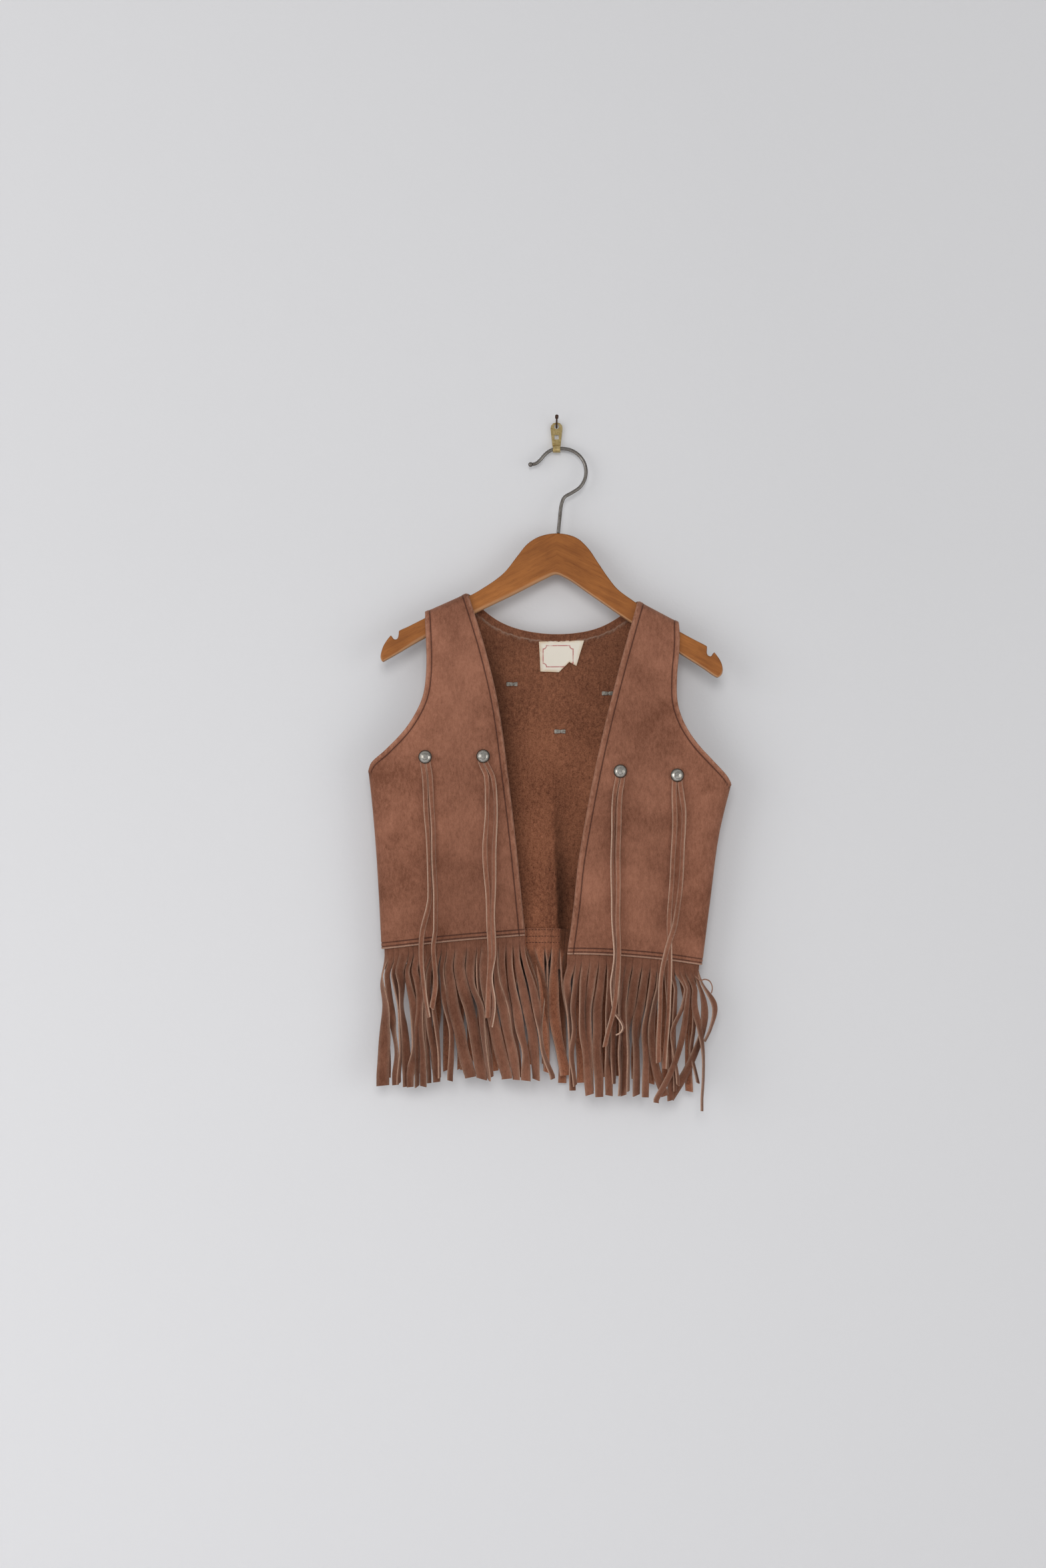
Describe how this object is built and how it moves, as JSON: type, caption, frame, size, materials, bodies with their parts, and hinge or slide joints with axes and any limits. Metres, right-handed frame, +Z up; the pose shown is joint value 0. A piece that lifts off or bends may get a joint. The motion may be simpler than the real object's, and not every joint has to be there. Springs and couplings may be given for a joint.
{
  "type": "fringed vest on a hanger and wall hook",
  "caption": "Open-front suede vest with cut fringe at the hem and pairs of thongs under domed nailheads, worn on a small wooden hanger whose hook hangs in a brass tab on a nail.",
  "frame": {"origin": "the point where the nail enters the wall, on the wall's surface", "axes": "+Z up, +Y into the wall, +X to the wearer's left, which is the viewer's right; the vest's front faces -Y"},
  "size_m": [0.3141, 0.0562, 0.6144],
  "materials": {
    "suede": "soft brushed suede",
    "nickel": "polished nickel, slightly worn",
    "wood": "varnished",
    "steel": "dulled wire",
    "brass": "aged",
    "rust": "rusty",
    "label": "woven"
  },
  "bodies": {
    "root": {"right_front": "suede", "left_front": "suede", "back": "suede", "right_front_fringe": "suede", "left_front_fringe": "suede", "back_fringe": "suede", "label": "label", "hanger_body": "wood", "hanger_hook": "steel", "wall_tab": "brass", "nail": "rust", "nailhead_right_outer": "nickel", "thongs_right_outer": "suede", "nailhead_right_inner": "nickel", "thongs_right_inner": "suede", "nailhead_left_inner": "nickel", "thongs_left_inner": "suede", "nailhead_left_outer": "nickel", "thongs_left_outer": "suede", "nailhead_back_right": "nickel", "thongs_back_right": "suede", "nailhead_back_left": "nickel", "thongs_back_left": "suede", "nailhead_back_low": "nickel", "thongs_back_low": "suede"}
  },
  "joints": []
}
